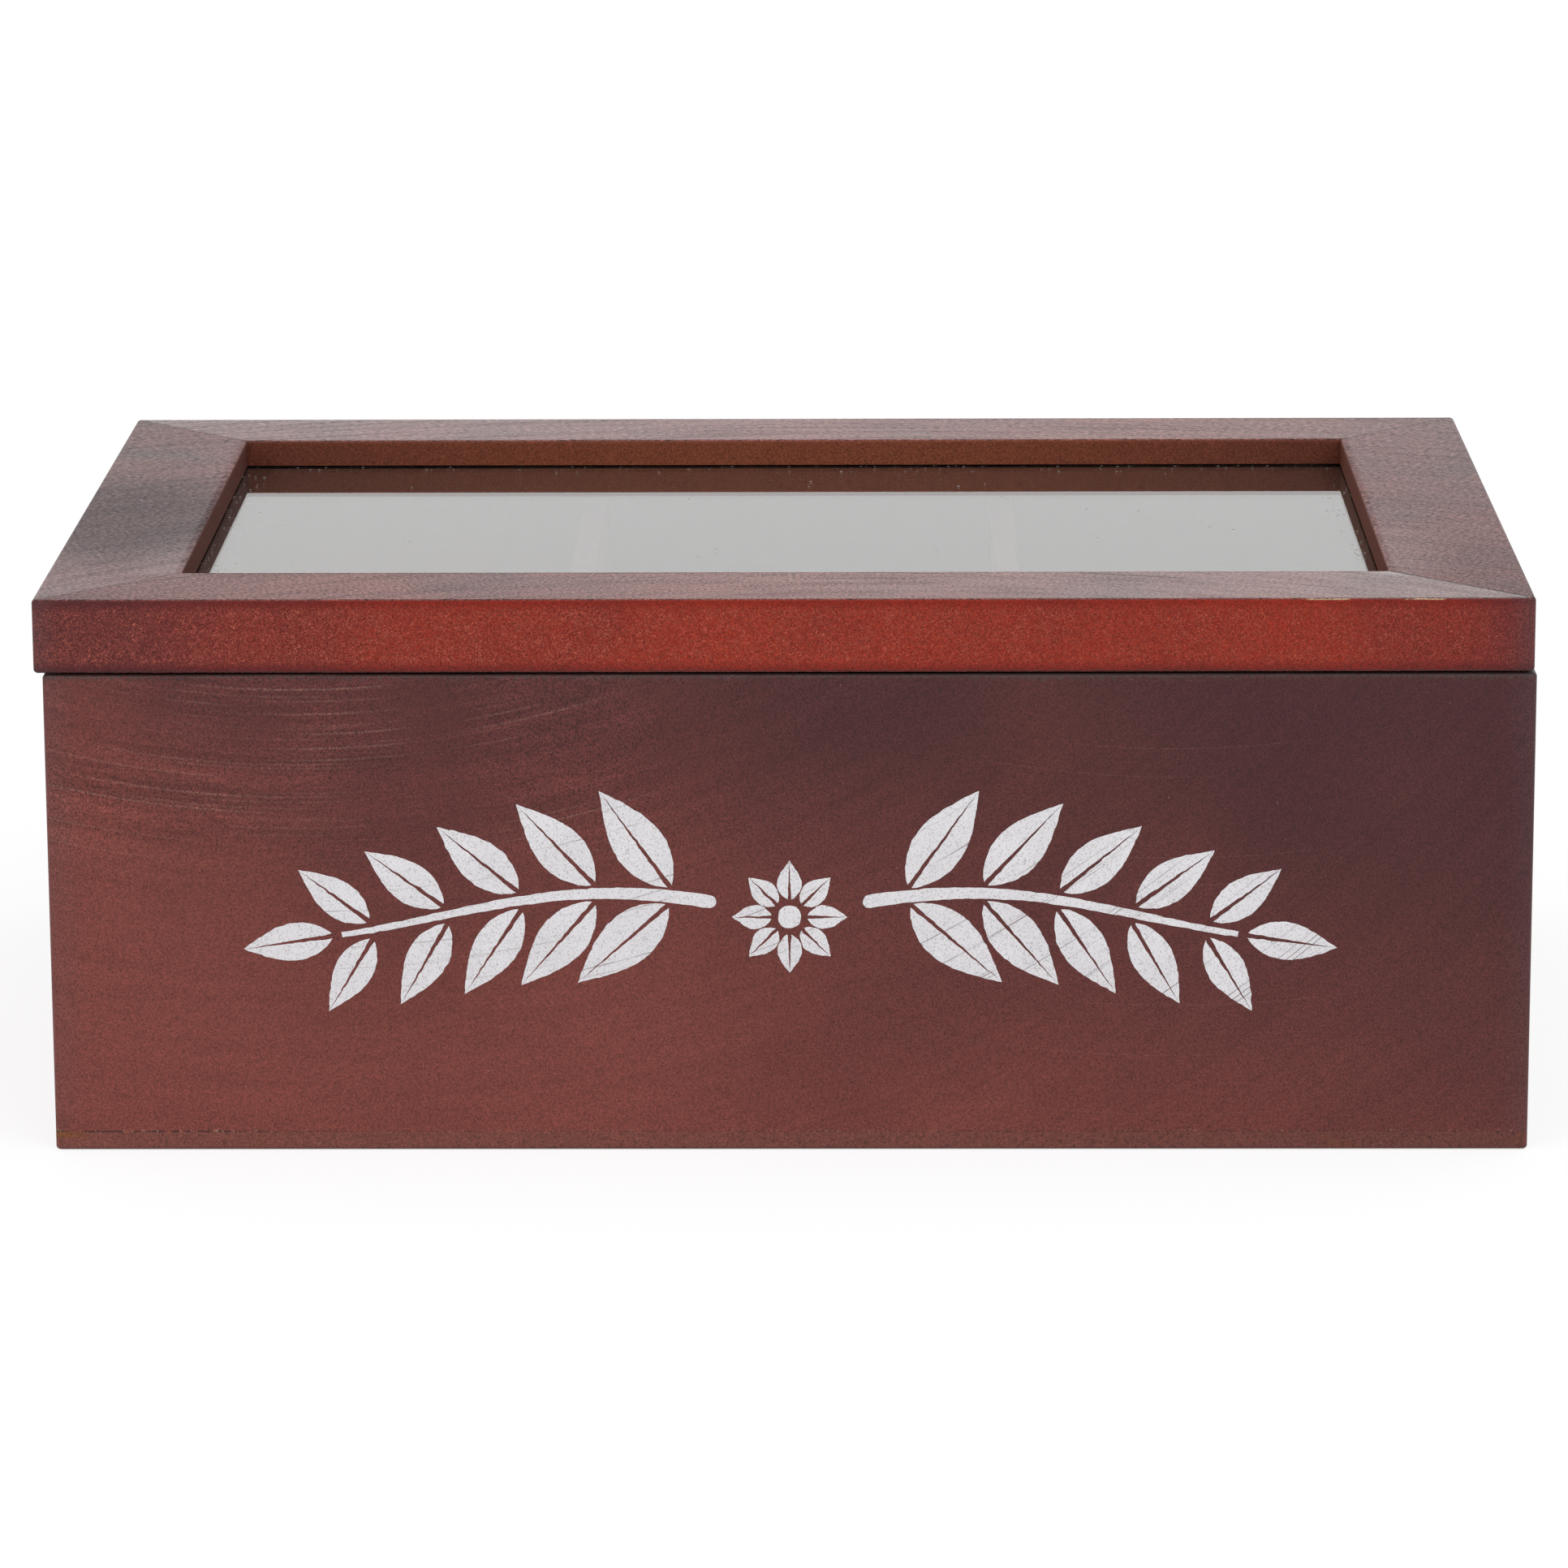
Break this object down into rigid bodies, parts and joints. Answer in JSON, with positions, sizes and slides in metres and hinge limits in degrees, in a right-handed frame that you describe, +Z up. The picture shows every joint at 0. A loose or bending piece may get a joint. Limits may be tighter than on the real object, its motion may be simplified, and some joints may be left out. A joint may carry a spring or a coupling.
{
  "type": "wooden compartment box with hinged glass lid",
  "caption": "Stained wooden box split by crossing dividers into open-topped compartments, closed by a mitred, glazed lid on small rear hinges.",
  "frame": {"origin": "middle of the underside of the box, on the surface that it stands on", "axes": "+X to the right of the box as seen from the front, +Y to the rear where the hinges are, +Z up"},
  "size_m": [0.2404, 0.1695, 0.0913],
  "materials": {
    "box_wood": "red-brown stain with a thin satin lacquer, rubbed at the edges",
    "lid_wood": "red-brown stain with a thin satin lacquer, mottled on the cut edges",
    "base_board": "stained thin board, mottled on the cut edge",
    "divider_wood": "stained, satin",
    "clear_glass": "clear float glass",
    "hinge_brass": "plated, slightly dull",
    "staple_steel": "bright wire"
  },
  "bodies": {
    "box": {"front_wall": "box_wood", "rear_wall": "box_wood", "left_wall": "box_wood", "right_wall": "box_wood", "base_panel": "base_board", "base_staples": "staple_steel", "long_divider": "divider_wood", "left_cross_divider": "divider_wood", "right_cross_divider": "divider_wood", "left_hinge_box_leaf": "hinge_brass", "right_hinge_box_leaf": "hinge_brass", "left_hinge_pin": "hinge_brass", "right_hinge_pin": "hinge_brass", "box_leaf_screws": "hinge_brass"},
    "lid": {"lid_front_rail": "lid_wood", "lid_rear_rail": "lid_wood", "lid_left_stile": "lid_wood", "lid_right_stile": "lid_wood", "glass_pane": "clear_glass", "left_hinge_lid_leaf": "hinge_brass", "right_hinge_lid_leaf": "hinge_brass", "lid_leaf_screws": "hinge_brass"}
  },
  "joints": [
    {"name": "lid_hinge", "type": "hinge", "parent": "box", "child": "lid", "pos_m": [0, 0.0833, 0.07915], "axis": [-1, 0, 0], "range_deg": [0, 110]}
  ]
}
